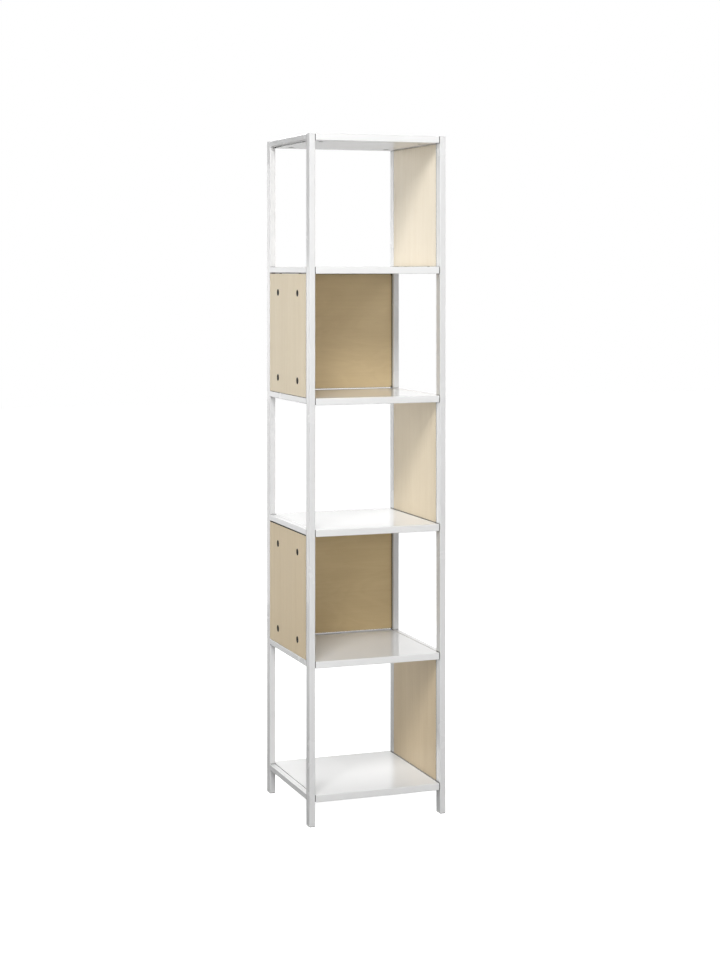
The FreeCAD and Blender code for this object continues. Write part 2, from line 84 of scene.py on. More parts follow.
bpy.context.scene.view_settings.view_transform = "Standard"
camera_data = bpy.data.cameras.new("Camera")
camera_data.sensor_width = SENSOR_WIDTH
camera_data.lens = FOCAL_PIXELS / IMAGE_HEIGHT * SENSOR_WIDTH
camera_data.shift_y = (HORIZON_ROW - IMAGE_HEIGHT / 2) / IMAGE_HEIGHT
camera = bpy.data.objects.new("Camera", camera_data)
camera.location = CAMERA_PLACE
camera.rotation_euler = (math.radians(90), 0, math.radians(CAMERA_HEADING))
bpy.context.scene.collection.objects.link(camera)
bpy.context.scene.camera = camera
print("lens:", round(camera_data.lens, 2), "shift:", round(camera_data.shift_y, 4))

# %% [markdown]
# ## Helpers for node trees
# Each finish below is a small network of shader nodes. These helpers keep the cells short: they add a node and
# set its values, map or mix what flows through the network, and start a material with its Principled shader.

# %% Node helpers
def add_node(tree, kind, inputs=None, **settings):
    """Add a node, set its properties, and fill or link the inputs that are named."""
    node = tree.nodes.new(kind)
    for name, setting in settings.items():
        setattr(node, name, setting)
    for name, source in (inputs or {}).items():
        if isinstance(source, bpy.types.NodeSocket):
            tree.links.new(source, node.inputs[name])
        else:
            node.inputs[name].default_value = source
    return node


def add_math(tree, operation, first, second=None):
    """Add a Math node and return its result."""
    inputs = {0: first}
    if second is not None:
        inputs[1] = second
    return add_node(tree, "ShaderNodeMath", inputs, operation=operation).outputs[0]


def add_range(tree, value, source, target=(0.0, 1.0)):
    """Map a value from the source range to the target range and return the result."""
    ends = {"From Min": source[0], "From Max": source[1], "To Min": target[0], "To Max": target[1]}
    return add_node(tree, "ShaderNodeMapRange", {"Value": value, **ends}).outputs[0]


def mix_colours(tree, factor, first, second):
    """Blend two colours and return the result; the node's colour sockets are reached by number."""
    return add_node(tree, "ShaderNodeMix", {0: factor, 6: first, 7: second}, data_type="RGBA").outputs[2]


def new_material(name, **shader_inputs):
    """A material with one Principled shader; returns the material, its tree and the shader."""
    material = bpy.data.materials.new(name)
    material.use_nodes = True
    tree = material.node_tree
    shader = tree.nodes["Principled BSDF"]
    for socket, setting in shader_inputs.items():
        shader.inputs[socket.replace("_", " ")].default_value = setting
    return material, tree, shader


def colour_ramp(tree, factor, stops):
    """Map a value to colours; stops are (position, (red, green, blue)) in rising order."""
    node = add_node(tree, "ShaderNodeValToRGB", {"Fac": factor})
    ramp = node.color_ramp
    while len(ramp.elements) < len(stops):
        ramp.elements.new(0.5)
    for element, (position, colour) in zip(ramp.elements, stops):
        element.position = position
        element.color = (*colour, 1)
    return node.outputs["Color"]


# %% [markdown]
# ## Studio
# White furniture in front of white needs soft light from one side, or it loses its shape. One large soft box
# high in front on the left is the main light, so every shelf throws a soft shade on what stands under it, and
# the lower bays, farther from the lamp, come out darker. Smaller lamps fill in from the front left, the front,
# the front right, the right, the rear and the rear left. Two more at the rear left stand for a lit backdrop,
# and with a black flag above one of them they shape what the posts' left faces mirror.
#
# The backdrop is plain white to the camera. A gloss reflection sees it brighter above the horizon and greyer
# below, and matt surfaces get only a little light from it. The floor has a glow of its own for the camera,
# and another one for reflections, which is brightest in a ring around the bookshelf.

# %% Floor
FLOOR_COLOUR = (0.62, 0.62, 0.62)
FLOOR_IN_GLOSS = (0.42, 0.42, 0.42)
FLOOR_SEEN = (0.93, 1.0)
FLOOR_REACH = (0.5, 2.0)
FLOOR_MIRRORED = [(0.10, (0, 0, 0)), (0.36, (0.60, 0.60, 0.60)), (0.62, (0.0, 0.0, 0.0))]
MIRROR_SPAN = 6.0

bpy.ops.mesh.primitive_plane_add(size=30, location=(0, 0, 0))
floor = bpy.context.object
floor.name = "floor"
floor_material, floor_tree, floor_shader = new_material("studio_floor", Roughness=0.9)
floor_shader.inputs["Specular IOR Level"].default_value = 0
floor_shader.inputs["Emission Color"].default_value = (1, 1, 1, 1)
ray = add_node(floor_tree, "ShaderNodeLightPath")
place = add_node(floor_tree, "ShaderNodeTexCoord").outputs["Object"]
away = add_node(floor_tree, "ShaderNodeVectorMath", {0: place}, operation="LENGTH").outputs["Value"]
glow_seen = add_range(floor_tree, away, FLOOR_REACH, FLOOR_SEEN)
seen = add_math(floor_tree, "MULTIPLY", ray.outputs["Is Camera Ray"], glow_seen)
glow_mirrored = colour_ramp(floor_tree, add_math(floor_tree, "DIVIDE", away, MIRROR_SPAN), FLOOR_MIRRORED)
mirrored = add_math(floor_tree, "MULTIPLY", ray.outputs["Is Glossy Ray"], glow_mirrored)
glow = add_math(floor_tree, "ADD", seen, mirrored)
floor_tree.links.new(glow, floor_shader.inputs["Emission Strength"])
tint = colour_ramp(floor_tree, ray.outputs["Is Glossy Ray"], [(0.0, FLOOR_COLOUR), (1.0, FLOOR_IN_GLOSS)])
floor_tree.links.new(tint, floor_shader.inputs["Base Color"])
floor.data.materials.append(floor_material)
floor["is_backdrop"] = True
print("floor:", floor.name)

# %% Backdrop
AMBIENT = 0.05
MIRRORED_ABOVE = 1.12
MIRRORED_BELOW = 0.62
HORIZON_BLUR = 0.02

world = bpy.data.worlds.new("studio")
world.use_nodes = True
bpy.context.scene.world = world
sky = world.node_tree
sky.nodes.clear()
ray = add_node(sky, "ShaderNodeLightPath")
way = add_node(sky, "ShaderNodeTexCoord").outputs["Generated"]
height = add_node(sky, "ShaderNodeSeparateXYZ", {"Vector": way}).outputs["Z"]
mirrored = add_range(sky, height, (-HORIZON_BLUR, HORIZON_BLUR), (MIRRORED_BELOW, MIRRORED_ABOVE))
mirrored = add_math(sky, "MULTIPLY", mirrored, ray.outputs["Is Glossy Ray"])
direct = add_math(sky, "MAXIMUM", ray.outputs["Is Camera Ray"], ray.outputs["Is Glossy Ray"])
shown = add_math(sky, "MAXIMUM", ray.outputs["Is Camera Ray"], mirrored)
ambient = add_node(sky, "ShaderNodeBackground", {"Color": (1, 1, 1, 1), "Strength": AMBIENT})
white = add_node(sky, "ShaderNodeBackground", {"Color": (1, 1, 1, 1), "Strength": shown})
choice = add_node(sky, "ShaderNodeMixShader", {0: direct, 1: ambient.outputs[0], 2: white.outputs[0]})
add_node(sky, "ShaderNodeOutputWorld", {"Surface": choice.outputs[0]})
print("backdrop:", world.name)

# %% Lamps
def add_soft_box(name, place, target, width, height, watts):
    """An area lamp at place, turned to face target."""
    lamp = bpy.data.lights.new(name, "AREA")
    lamp.shape = "RECTANGLE"
    lamp.size = width
    lamp.size_y = height
    lamp.energy = watts
    holder = bpy.data.objects.new(name, lamp)
    holder.location = place
    direction = Vector(target) - Vector(place)
    holder.rotation_euler = direction.to_track_quat("-Z", "Y").to_euler()
    bpy.context.scene.collection.objects.link(holder)


# Name, place, target, width, height and watts of each lamp.
LAMPS = [
    ("key_lamp", (-1.64, -3.1, 3.7), (0, 0, 0.6), 1.8, 1.45, 132),
    ("fill_lamp", (-1.5, -2.1, 1.6), (0, 0, 1.2), 0.9, 0.9, 8),
    ("front_lamp", (0.05, -4.2, 1.2), (0, 0, 0.9), 1.5, 1.5, 18),
    ("rear_lamp", (0.3, 2.6, 3.2), (0, 0, 1.0), 1.6, 1.2, 52),
    ("right_lamp", (2.5, 1.3, 0.7), (0, 0, 0.9), 1.2, 1.2, 20),
    ("front_right_lamp", (1.9, -2.0, 3.3), (0, 0, 0.7), 1.0, 1.0, 14),
    ("rear_left_lamp", (-1.9, 2.4, 2.0), (0, 0, 1.4), 0.6, 0.6, 7),
    ("low_backdrop_lamp", (-1.77, 3.0, 0.73), (-1.77, 0, 0.73), 1.26, 1.46, 7.8),
    ("tall_backdrop_lamp", (-0.82, 3.0, 0.95), (-0.82, 0, 0.95), 0.64, 1.9, 5.7),
]
for lamp in LAMPS:
    add_soft_box(*lamp)
print("lamps:", len(LAMPS))

# %% Flag
FLAG_PLACE = (-1.85, 3.02, 1.80)
FLAG_SIZE = (1.5, 0.60)

bpy.ops.mesh.primitive_plane_add(size=1, location=FLAG_PLACE, rotation=(math.radians(90), 0, 0))
flag = bpy.context.object
flag.name = "flag"
flag.scale = (*FLAG_SIZE, 1)
flag.visible_camera = False
flag.data.materials.append(new_material("black_cloth", Base_Color=(0.02, 0.02, 0.02, 1), Roughness=0.9)[0])
flag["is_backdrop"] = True
print("flag:", flag.name)

# %% [markdown]
# ## Shared effects
# Four effects are shared by several finishes, and three node groups hold them. Soft edges catch the light on
# the small radius that every painted or lacquered edge has, and a low ripple runs through sprayed paint, which
# is never quite even. Narrow gaps between pieces get painted shade: their colour is darkened, because little
# light gets into them. Veneer needs long streaks along the grain, fine pores and broad, lazy figure.

# %% Start a node group
def new_group(name, inputs, outputs):
    """A shader node group; inputs are given as (name, kind, value) and outputs as (name, kind)."""
    group = bpy.data.node_groups.new(name, "ShaderNodeTree")
    for socket_name, kind, setting in inputs:
        socket = group.interface.new_socket(socket_name, in_out="INPUT", socket_type=f"NodeSocket{kind}")
        if setting is not None:
            socket.default_value = setting
    for socket_name, kind in outputs:
        group.interface.new_socket(socket_name, in_out="OUTPUT", socket_type=f"NodeSocket{kind}")
    entry = group.nodes.new("NodeGroupInput")
    leave = group.nodes.new("NodeGroupOutput")
    return group, entry.outputs, leave.inputs


# %% Group: softened edges and ripple
RIPPLE_DISTANCE = 0.0004
CLOUD_SCALE = 9.0

paint_group, given, result = new_group(
    "sprayed_surface",
    [("Edge Radius", "Float", 0.001), ("Ripple Scale", "Float", 120.0), ("Ripple Height", "Float", 0.1)],
    [("Normal", "Vector"), ("Unevenness", "Float")],
)
place = add_node(paint_group, "ShaderNodeTexCoord").outputs["Object"]
ripple = add_node(
    paint_group, "ShaderNodeTexNoise", {"Vector": place, "Scale": given["Ripple Scale"], "Detail": 3.0}
)
edge = add_node(paint_group, "ShaderNodeBevel", {"Radius": given["Edge Radius"]}, samples=6)
height = add_math(paint_group, "MULTIPLY", ripple.outputs["Fac"], given["Ripple Height"])
bump = add_node(
    paint_group,
    "ShaderNodeBump",
    {"Strength": 1.0, "Distance": RIPPLE_DISTANCE, "Height": height, "Normal": edge.outputs["Normal"]},
)
paint_group.links.new(bump.outputs["Normal"], result["Normal"])
cloud = add_node(paint_group, "ShaderNodeTexNoise", {"Vector": place, "Scale": CLOUD_SCALE, "Detail": 4.0})
paint_group.links.new(cloud.outputs["Fac"], result["Unevenness"])
print("group:", paint_group.name)

# %% Group: painted shade in crevices
CREVICE_REACH = 0.008
CREVICE_RANGE = (0.42, 0.7)
CREVICE_SHADE_COLOUR = (0.03, 0.028, 0.025)

painted_shade_group, given, result = new_group(
    "painted_crevice_shade", [("Color", "Color", (0.8, 0.8, 0.8, 1))], [("Color", "Color")]
)
# Painted shade: the Ambient Occlusion node darkens the base colour itself where gaps are narrow.
occlusion = add_node(painted_shade_group, "ShaderNodeAmbientOcclusion", {"Distance": CREVICE_REACH}, samples=8)
openness = add_range(painted_shade_group, occlusion.outputs["AO"], CREVICE_RANGE)
darkened = mix_colours(painted_shade_group, openness, (*CREVICE_SHADE_COLOUR, 1), given["Color"])
painted_shade_group.links.new(darkened, result["Color"])
print("group:", painted_shade_group.name)


def colour_with_painted_shade(tree, shader, colour):
    """Lead a colour to a shader, with painted shade darkening it in crevices."""
    crevice = add_node(tree, "ShaderNodeGroup", node_tree=painted_shade_group)
    tree.links.new(colour, crevice.inputs["Color"])
    tree.links.new(crevice.outputs["Color"], shader.inputs["Base Color"])


# %% Group: veneer
PORE_RANGE = (0.56, 0.72)
TONE_RANGE = (0.3, 0.85)
RING_COUNT = 42.0
STREAK_SHARE, BAND_SHARE, RING_SHARE, PORE_SHARE = 0.45, 0.55, 0.25, 0.25
SHEEN_SPREAD, SHEEN_LEAST = 0.15, 0.36

veneer_group, given, result = new_group(
    "birch_veneer",
    [
        ("Vector", "Vector", None),
        ("Light Wood", "Color", (0.80, 0.72, 0.60, 1)),
        ("Dark Wood", "Color", (0.66, 0.56, 0.42, 1)),
        ("Figure", "Float", 0.3),
    ],
    [("Color", "Color"), ("Height", "Float"), ("Roughness", "Float")],
)


def stretched_noise(tree, vector, scale, detail=4.0, distortion=0.0):
    """Noise whose scale is given along and across the grain, as (x, y, z) cells a metre."""
    mapping = add_node(tree, "ShaderNodeMapping", {"Vector": vector, "Scale": scale})
    noise = add_node(
        tree,
        "ShaderNodeTexNoise",
        {"Vector": mapping.outputs[0], "Scale": 1.0, "Detail": detail, "Distortion": distortion},
    )
    return noise.outputs["Fac"]


# The grain runs along the group's own Z; X and Y lie across it.
grain = given["Vector"]
streaks = stretched_noise(veneer_group, grain, (160, 160, 3.5), 5.0)
bands = stretched_noise(veneer_group, grain, (28, 28, 1.2), 3.0, 0.6)
figure = stretched_noise(veneer_group, grain, (7, 7, 2.2), 2.0, 1.6)
pores = stretched_noise(veneer_group, grain, (900, 900, 38), 2.0)
pore_mask = add_range(veneer_group, pores, PORE_RANGE)
rings = add_math(veneer_group, "SINE", add_math(veneer_group, "MULTIPLY", figure, RING_COUNT))
rings = add_math(veneer_group, "MULTIPLY", rings, given["Figure"])
tone = add_math(veneer_group, "MULTIPLY", streaks, STREAK_SHARE)
for part, share in ((bands, BAND_SHARE), (rings, RING_SHARE), (pore_mask, PORE_SHARE)):
    tone = add_math(veneer_group, "ADD", tone, add_math(veneer_group, "MULTIPLY", part, share))
tone = add_range(veneer_group, tone, TONE_RANGE)
wood = mix_colours(veneer_group, tone, given["Light Wood"], given["Dark Wood"])
veneer_group.links.new(wood, result["Color"])
veneer_group.links.new(add_math(veneer_group, "SUBTRACT", streaks, pore_mask), result["Height"])
sheen = add_math(veneer_group, "MULTIPLY", streaks, SHEEN_SPREAD)
veneer_group.links.new(add_math(veneer_group, "ADD", sheen, SHEEN_LEAST), result["Roughness"])
print("group:", veneer_group.name)

# %% [markdown]
# ## Finishes
# The tubes carry a satin paint under a thin clear coat, and the feet are duller plastic. The boards' lacquer is
# far glossier, so it mirrors the panels and the studio. Each veneered panel has a part of the sheet of its own,
# and a colour that is darker the lower the panel stands: partly the veneer's own tone, partly painted shade for
# the light that falls off towards the floor. Each also has a setting for how much of its colour the light keeps
# that it throws on the white boards.

# %% Paint and lacquer
UNEVEN_RANGE = (0.3, 0.7)
COAT_ROUGHNESS = 0.04


def add_sprayed_surface(tree, shader, edge_radius, ripple_scale, ripple_height):
    """Softened edges and ripple on a shader's normal; returns the unevenness for its roughness."""
    surface = add_node(
        tree,
        "ShaderNodeGroup",
        {"Edge Radius": edge_radius, "Ripple Scale": ripple_scale, "Ripple Height": ripple_height},
        node_tree=paint_group,
    )
    tree.links.new(surface.outputs["Normal"], shader.inputs["Normal"])
    return surface.outputs["Unevenness"]


def new_sprayed_finish(name, low, high, roughness, coat, edge_radius, ripple_scale, ripple_height):
    """A paint between two near colours, with roughness (lowest, highest)."""
    material, tree, shader = new_material(name, Coat_Weight=coat, Coat_Roughness=COAT_ROUGHNESS)
    unevenness = add_sprayed_surface(tree, shader, edge_radius, ripple_scale, ripple_height)
    colour_with_painted_shade(tree, shader, colour_ramp(tree, unevenness, list(zip(UNEVEN_RANGE, (low, high)))))
    tree.links.new(add_range(tree, unevenness, UNEVEN_RANGE, roughness), shader.inputs["Roughness"])
    return material


frame_paint = new_sprayed_finish(
    "white_frame_paint", (0.78, 0.78, 0.778), (0.80, 0.80, 0.798), (0.24, 0.28), 0.4, 0.0005, 420.0, 0.006
)
shelf_lacquer = new_sprayed_finish(
    "white_gloss_lacquer", (0.86, 0.86, 0.855), (0.875, 0.875, 0.87), (0.03, 0.05), 0.0, 0.0010, 60.0, 0.008
)
foot_plastic = new_sprayed_finish(
    "white_foot_plastic", (0.80, 0.80, 0.795), (0.83, 0.83, 0.825), (0.4, 0.5), 0.0, 0.0010, 900.0, 0.1
)
print("sprayed finishes:", frame_paint.name, shelf_lacquer.name, foot_plastic.name)

# %% Veneer for each panel
LIGHTER, DARKER = (1.045, 1.052, 1.065), (0.94, 0.922, 0.893)
GRAIN_STRENGTH, GRAIN_DISTANCE = 0.25, 0.0003


def new_veneer(name, colour, figure, turn, shift, bleed=0.25):
    """Veneer whose grain runs along the axis that turn brings to Z; shift picks another part of the sheet.

    bleed is the share of its colour that the light it throws on the white boards keeps."""
    material, tree, shader = new_material(name, Specular_IOR_Level=0.3)
    place = add_node(tree, "ShaderNodeTexCoord").outputs["Object"]
    mapping = add_node(tree, "ShaderNodeMapping", {"Vector": place, "Location": shift, "Rotation": turn})
    group = add_node(tree, "ShaderNodeGroup", node_tree=veneer_group)
    tree.links.new(mapping.outputs[0], group.inputs["Vector"])
    group.inputs["Light Wood"].default_value = (*(part * share for part, share in zip(colour, LIGHTER)), 1)
    group.inputs["Dark Wood"].default_value = (*(part * share for part, share in zip(colour, DARKER)), 1)
    group.inputs["Figure"].default_value = figure
    bounced = add_node(tree, "ShaderNodeLightPath").outputs["Is Diffuse Ray"]
    saturation = add_math(tree, "SUBTRACT", 1.0, add_math(tree, "MULTIPLY", bounced, 1.0 - bleed))
    wood = {"Color": group.outputs["Color"], "Saturation": saturation}
    calmed = add_node(tree, "ShaderNodeHueSaturation", wood)
    colour_with_painted_shade(tree, shader, calmed.outputs["Color"])
    tree.links.new(group.outputs["Roughness"], shader.inputs["Roughness"])
    bump = add_node(tree, "ShaderNodeBump", {"Strength": GRAIN_STRENGTH, "Distance": GRAIN_DISTANCE})
    tree.links.new(group.outputs["Height"], bump.inputs["Height"])
    tree.links.new(bump.outputs["Normal"], shader.inputs["Normal"])
    return material


UPRIGHT = (0, 0, 0)
LEVEL = (0, math.radians(90), 0)
# Lower panels get darker colours: partly the veneer's own tone, partly painted shade for the falling light.
veneers = {
    "left_panel_2": new_veneer("veneer_left_2", (0.947, 0.805, 0.565), 0.1, UPRIGHT, (0.3, 0.1, 0.2), 0.8),
    "left_panel_4": new_veneer("veneer_left_4", (0.82, 0.66, 0.42), 0.1, UPRIGHT, (0.7, 0.5, 0.9), 0.3),
    "right_panel_1": new_veneer("veneer_right_1", (0.955, 0.855, 0.685), 0.1, UPRIGHT, (1.3, 0.2, 0.4), 1.0),
    "right_panel_3": new_veneer("veneer_right_3", (0.875, 0.745, 0.54), 0.1, UPRIGHT, (1.9, 0.8, 0.1)),
    "right_panel_5": new_veneer("veneer_right_5", (0.72, 0.58, 0.385), 0.1, UPRIGHT, (2.4, 0.6, 0.7)),
    "back_panel_2": new_veneer("veneer_back_2", (0.733, 0.575, 0.34), 0.3, LEVEL, (0.2, 1.1, 0.3), 0.8),
    "back_panel_4": new_veneer("veneer_back_4", (0.687, 0.521, 0.283), 0.3, LEVEL, (0.9, 1.7, 0.6), 0.5),
}
print("veneers:", len(veneers))

# %% Metal of the locks and bars
# Near-black zinc and a dimmed reflection tint: partly the locks' own dull metal, partly painted shade.
SHADED_ZINC_DARK, SHADED_ZINC_LIGHT = (0.022, 0.021, 0.019), (0.05, 0.048, 0.045)
ZINC_SPREAD, ZINC_LEAST = 0.3, 0.3
ZINC_SCALE = 260.0

lock_metal, tree, shader = new_material("lock_zinc", Metallic=1.0, Specular_Tint=(0.5, 0.49, 0.47, 1))
place = add_node(tree, "ShaderNodeTexCoord").outputs["Object"]
speckle = add_node(tree, "ShaderNodeTexNoise", {"Vector": place, "Scale": ZINC_SCALE, "Detail": 4.0})
mottle = speckle.outputs["Fac"]
zinc = colour_ramp(tree, mottle, [(0.3, SHADED_ZINC_DARK), (0.7, SHADED_ZINC_LIGHT)])
tree.links.new(zinc, shader.inputs["Base Color"])
dullness = add_math(tree, "ADD", add_math(tree, "MULTIPLY", mottle, ZINC_SPREAD), ZINC_LEAST)
tree.links.new(dullness, shader.inputs["Roughness"])
print("metal:", lock_metal.name)

# %% Give every solid its finish
FINISHES = {
    "frame_paint": frame_paint,
    "shelf_lacquer": shelf_lacquer,
    "plastic": foot_plastic,
    "cam_metal": lock_metal,
    "bar_steel": lock_metal,
}
slots = {entry["node"]: entry["material_slot"] for entry in frame["record"]["subparts"]}
for name, solid in frame["nodes"].items():
    finish = veneers.get(name) or FINISHES[slots[name]]
    solid.data.materials.clear()
    solid.data.materials.append(finish)
print("finished solids:", len(frame["nodes"]))

# %% [markdown]
# ## Modelling by hand
# New pieces start from a primitive and are shaped in edit mode, just as with the mouse. Operators act on all
# that is selected, so these helpers first clear the selection, then pick faces or edges by place or direction.

# %% Modelling helpers
SMOOTH_ANGLE = 30
NEAR = 1e-5


def start_piece(name, primitive, **settings):
    """Add a primitive as the only selected object, under its own name."""
    bpy.ops.object.select_all(action="DESELECT")
    primitive(**settings)
    piece = bpy.context.object
    piece.name = name
    piece.data.name = name
    return piece


def select_parts(piece, kind, wanted):
    """In edit mode, select only the faces or edges for which wanted(part) is true."""
    bpy.ops.object.mode_set(mode="EDIT")
    bpy.ops.mesh.select_mode(type=kind)
    bpy.ops.mesh.select_all(action="DESELECT")
    mesh = bmesh.from_edit_mesh(piece.data)
    for part in mesh.faces if kind == "FACE" else mesh.edges:
        if wanted(part):
            part.select_set(True)
    bmesh.update_edit_mesh(piece.data)


def faces_towards(direction, place=None):
    """A test for faces that look in a direction and, if place is given, lie that far along it."""
    way = Vector(direction)

    def test(face):
        near = place is None or abs(face.calc_center_median().dot(way) - place) < NEAR
        return face.normal.dot(way) > 0.999 and near

    return test


def leave_edit_mode():
    bpy.ops.object.mode_set(mode="OBJECT")


def extrude_by(offset):
    bpy.ops.mesh.extrude_region_move(TRANSFORM_OT_translate={"value": offset})


# %% Helpers that apply, finish and copy
def apply_modifier(piece, name, kind, **settings):
    """Add a modifier, set it up and apply it."""
    modifier = piece.modifiers.new(name, kind)
    for key, setting in settings.items():
        setattr(modifier, key, setting)
    bpy.context.view_layer.objects.active = piece
    bpy.ops.object.modifier_apply(modifier=name)


def cut_away(piece, cutter):
    """Subtract the cutter from the piece and delete the cutter."""
    apply_modifier(piece, "cut", "BOOLEAN", operation="DIFFERENCE", object=cutter, solver="EXACT")
    bpy.data.objects.remove(cutter, do_unlink=True)


def smooth_piece(piece):
    """Smooth shading, with edges sharper than SMOOTH_ANGLE kept crisp."""
    bpy.ops.object.select_all(action="DESELECT")
    piece.select_set(True)
    bpy.context.view_layer.objects.active = piece
    bpy.ops.object.shade_smooth_by_angle(angle=math.radians(SMOOTH_ANGLE))


def finish_piece(piece, material, slot_name, *nodes):
    """Freeze the piece's place into its mesh, give it its finish and its body, and hide the nodes it stands for.
    """
    bpy.ops.object.select_all(action="DESELECT")
    piece.select_set(True)
    bpy.context.view_layer.objects.active = piece
    bpy.ops.object.transform_apply(location=True, rotation=True, scale=True)
    piece.data.materials.clear()
    piece.data.materials.append(material)
    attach(piece, "root")
    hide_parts(*nodes)


def copy_piece(master, name, turn, place):
    """A copy with its own mesh, turned by a matrix and moved to place."""
    piece = master.copy()
    piece.data = master.data.copy()
    piece.name = name
    piece.data.name = name
    bpy.context.scene.collection.objects.link(piece)
    piece.matrix_world = Matrix.Translation(place) @ turn.to_4x4()
    return piece


# %% [markdown]
# ## Cam locks
# Every board and side panel hangs on cam locks: zinc discs, pressed into round bores, that grip the end of a
# steel bar when they are turned with a screwdriver. What shows is a dark disc with a raised rim, a sunk ring,
# a boss in the middle and a cross recess; its near-black colour is partly the metal's own dull tone and partly
# painted shade for the recess it sits in. One lock is modelled face down at the origin, with its mouth towards
# +X. Its cross stands at a slightly different angle in each of three masters, as nobody tightens two alike.

# %% Model the cam locks
CAM_RADIUS = 0.0089
CAM_SUNK = 0.0002
CAM_BEYOND_BAR = 0.005
MOUTH_WIDTH = 0.0063
RIM_WIDTH = 0.0008
RING_DEPTH = 0.0030
BOSS_INSET = 0.0026
RECESS_LENGTH = 0.0068
RECESS_WIDTH = 0.0015
RECESS_DEPTH = 0.0026
BOSS_RISE = 0.8
BOSS_TAPER = 0.92
RECESS_TAPER = 0.45
EASED = 0.00018
EASED_ABOVE = 0.6
MOUTH_OVERRUN = 1.2


def model_cam_lock(name, bar_depth, cross_angle):
    """A cam lock whose face lies at the origin and looks along -Z; the bar lies bar_depth below the face."""
    length = bar_depth - CAM_SUNK + CAM_BEYOND_BAR
    lock = start_piece(
        name,
        bpy.ops.mesh.primitive_cylinder_add,
        vertices=48,
        radius=CAM_RADIUS,
        depth=length,
        location=(0, 0, length / 2),
    )
    bpy.ops.object.transform_apply(location=True)
    select_parts(lock, "FACE", faces_towards((0, 0, -1)))
    bpy.ops.mesh.inset(thickness=RIM_WIDTH)
    extrude_by((0, 0, RING_DEPTH))
    bpy.ops.mesh.inset(thickness=BOSS_INSET)
    extrude_by((0, 0, -RING_DEPTH * BOSS_RISE))
    bpy.ops.transform.resize(value=(BOSS_TAPER, BOSS_TAPER, 1), center_override=(0, 0, 0))
    leave_edit_mode()
    for turn in (0, 90):
        bar = start_piece("cross", bpy.ops.mesh.primitive_cube_add, size=1)
        bar.scale = (RECESS_LENGTH, RECESS_WIDTH, RECESS_DEPTH * 2)
        bar.rotation_euler.z = math.radians(cross_angle + turn)
        bpy.ops.object.transform_apply(rotation=True, scale=True)
        select_parts(bar, "FACE", faces_towards((0, 0, 1)))
        taper = (RECESS_TAPER, RECESS_TAPER, 1)
        bpy.ops.transform.resize(value=taper, center_override=(0, 0, RECESS_DEPTH))
        leave_edit_mode()
        cut_away(lock, bar)
    reach = CAM_RADIUS * MOUTH_OVERRUN + MOUTH_WIDTH / 2
    depth = CAM_BEYOND_BAR + MOUTH_WIDTH / 2
    mouth = start_piece("mouth", bpy.ops.mesh.primitive_cube_add, size=1)
    mouth.scale = (reach, MOUTH_WIDTH, depth * 2)
    mouth.location = (reach / 2 - MOUTH_WIDTH / 2, 0, length)
    bpy.ops.object.transform_apply(location=True, scale=True)
    cut_away(lock, mouth)
    apply_modifier(lock, "eased", "BEVEL", width=EASED, segments=2, limit_method="ANGLE", angle_limit=EASED_ABOVE)
    smooth_piece(lock)
    return lock


# %% Place the cam locks
CROSS_ANGLES = (8, 27, 51)
SHELF_BAR_DEPTH, PANEL_BAR_DEPTH = 0.010, 0.008
SHELF_CAM_REACH, SHELF_CAM_INSET = 0.034, 0.060
PANEL_CAM_TOP, PANEL_CAM_BOTTOM, PANEL_CAM_INSET = 0.051, 0.040, 0.072
SHELVES = [f"shelf_{level}" for level in range(1, 7)]
SIDE_PANELS = [name for name in frame["nodes"] if name.startswith(("left_panel_", "right_panel_"))]


def axes(x_way, z_way):
    """The rotation that takes a piece's own X and Z to the given directions."""
    x_way, z_way = Vector(x_way), Vector(z_way)
    return Matrix((x_way, z_way.cross(x_way), z_way)).transposed()


shelf_masters = [model_cam_lock(f"shelf_cam_{angle}", SHELF_BAR_DEPTH, angle) for angle in CROSS_ANGLES]
panel_masters = [model_cam_lock(f"panel_cam_{angle}", PANEL_BAR_DEPTH, angle) for angle in CROSS_ANGLES]
locks = []
for board in SHELVES:
    low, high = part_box(board)
    for side, x in ((-1, low[0] + SHELF_CAM_REACH), (1, high[0] - SHELF_CAM_REACH)):
        for y in (low[1] + SHELF_CAM_INSET, high[1] - SHELF_CAM_INSET):
            master = shelf_masters[len(locks) % len(shelf_masters)]
            turn = axes((side, 0, 0), (0, 0, 1))
            lock = copy_piece(master, f"{board}_cam_{len(locks) + 1}", turn, (x, y, low[2] + CAM_SUNK))
            locks.append((lock, "shelf_cam_locks"))
for panel in SIDE_PANELS:
    low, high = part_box(panel)
    side, outer = (-1, low[0]) if panel.startswith("left") else (1, high[0])
    for up, z in ((-1, low[2] + PANEL_CAM_BOTTOM), (1, high[2] - PANEL_CAM_TOP)):
        for y in (low[1] + PANEL_CAM_INSET, high[1] - PANEL_CAM_INSET):
            master = panel_masters[len(locks) % len(panel_masters)]
            turn = axes((0, 0, up), (-side, 0, 0))
            lock = copy_piece(master, f"{panel}_cam_{len(locks) + 1}", turn, (outer - side * CAM_SUNK, y, z))
            locks.append((lock, "side_panel_cam_locks"))
for lock, node in locks:
    finish_piece(lock, lock_metal, "cam_metal", node)
for master in shelf_masters + panel_masters:
    bpy.data.objects.remove(master, do_unlink=True)
print("cam locks:", len(locks))

# %% [markdown]
# ## Back panels
# A back panel stands clear of the board under it, on its pegs, and a thin line of daylight shows there. Its
# arrises are lightly eased, and each end has two hexagonal bores for the pegs of the rear posts.

# %% Model and place the back panels
DAYLIGHT = {"back_panel_2": 0.0009, "back_panel_4": 0.0022}
ARRIS = 0.0004
PEG_INSET = 0.060
BORE_FLATS = 0.0061
BORE_DEPTH = 0.0202


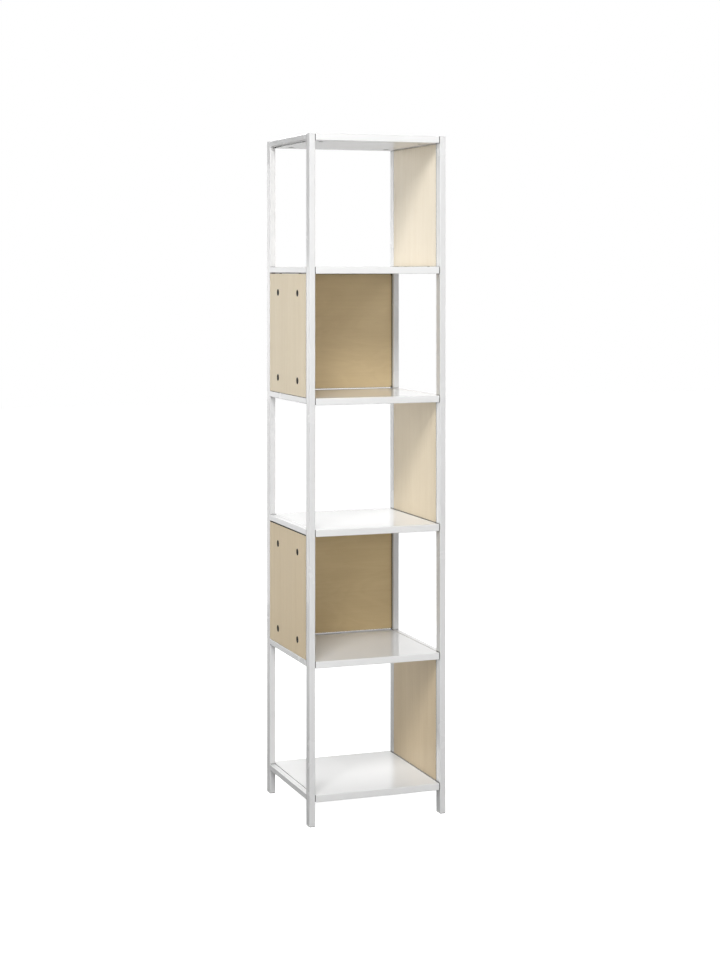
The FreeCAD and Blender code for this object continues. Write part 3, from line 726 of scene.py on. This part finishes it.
def model_back_panel(name):
    """A back panel in the place of the node of that name, a little shorter at the bottom."""
    low, high = (Vector(corner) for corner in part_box(name))
    foot = low + Vector((0, 0, DAYLIGHT[name]))
    panel = start_piece(f"{name}_piece", bpy.ops.mesh.primitive_cube_add, size=1, location=(foot + high) / 2)
    panel.scale = high - foot
    bpy.ops.object.transform_apply(location=True, scale=True)
    select_parts(panel, "EDGE", lambda edge: True)
    bpy.ops.mesh.bevel(offset=ARRIS, segments=2, affect="EDGES")
    leave_edit_mode()
    for x in (low.x, high.x):
        for z in (low.z + PEG_INSET, high.z - PEG_INSET):
            bore = start_piece(
                "bore",
                bpy.ops.mesh.primitive_cylinder_add,
                vertices=6,
                radius=BORE_FLATS / 2 / math.cos(math.radians(30)),
                depth=BORE_DEPTH * 2,
                location=(x, (low.y + high.y) / 2, z),
                rotation=(0, math.radians(90), 0),
            )
            cut_away(panel, bore)
    smooth_piece(panel)
    return panel


for name in DAYLIGHT:
    finish_piece(model_back_panel(name), veneers[name], slots[name], name)
print("back panels:", len(DAYLIGHT))

# %% [markdown]
# ## Feet
# The posts end in white plastic feet. A foot has a flange of the post's own section, rounded underneath. Its
# upper edge is eased, which leaves a fine groove where it meets the steel. A plain plug with a tapered end
# reaches up into the tube.

# %% Model and place the feet
FOOT_ROUND = 0.0018
SEAM = 0.00035
PLUG_GAP = 0.0016
PLUG_LENGTH = 0.022
PLUG_TIP = 0.002
PLUG_TAPER = (0.86, 0.92, 1)
POST_CORNER = 0.002
TOUCHING = 1e-6


def on_flange_rim(point, flange, size):
    """Whether a point lies on one of the straight outer edges of the flange's upper face."""
    outside = any(abs(abs(point[axis]) - size[axis] / 2) < TOUCHING for axis in (0, 1))
    return outside and abs(point.z - flange) < TOUCHING


def model_foot(name):
    """A foot around the origin, with its sole at z = 0."""
    low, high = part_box(name)
    size = [high[axis] - low[axis] for axis in range(3)]
    flange = size[2] - PLUG_LENGTH
    foot = start_piece(f"{name}_piece", bpy.ops.mesh.primitive_cube_add, size=1, location=(0, 0, 0.5))
    bpy.ops.object.transform_apply(location=True)
    foot.scale = (size[0], size[1], flange)
    bpy.ops.object.transform_apply(scale=True)
    select_parts(foot, "EDGE", lambda edge: abs(edge.verts[0].co.z - edge.verts[1].co.z) > flange / 2)
    bpy.ops.mesh.bevel(offset=POST_CORNER, segments=4, affect="EDGES")
    select_parts(foot, "EDGE", lambda edge: max(corner.co.z for corner in edge.verts) < TOUCHING)
    bpy.ops.mesh.bevel(offset=FOOT_ROUND, segments=4, affect="EDGES")
    select_parts(foot, "FACE", faces_towards((0, 0, 1), flange))
    bpy.ops.mesh.inset(thickness=SEAM)
    bpy.ops.mesh.inset(thickness=PLUG_GAP - SEAM)
    extrude_by((0, 0, PLUG_LENGTH - PLUG_TIP))
    extrude_by((0, 0, PLUG_TIP))
    bpy.ops.transform.resize(value=PLUG_TAPER, center_override=(0, 0, flange + PLUG_LENGTH))
    select_parts(foot, "EDGE", lambda edge: all(on_flange_rim(end.co, flange, size) for end in edge.verts))
    bpy.ops.mesh.bevel(offset=SEAM, segments=2, affect="EDGES")
    leave_edit_mode()
    smooth_piece(foot)
    foot.location = ((low[0] + high[0]) / 2, (low[1] + high[1]) / 2, low[2])
    return foot


feet = [name for name in frame["nodes"] if name.endswith("_foot")]
for name in feet:
    finish_piece(model_foot(name), foot_plastic, "plastic", name)
print("feet:", len(feet))

# %% [markdown]
# ## Sizes
# The corners of the finished model are found.

# %% Find the corners of the finished model
low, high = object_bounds()
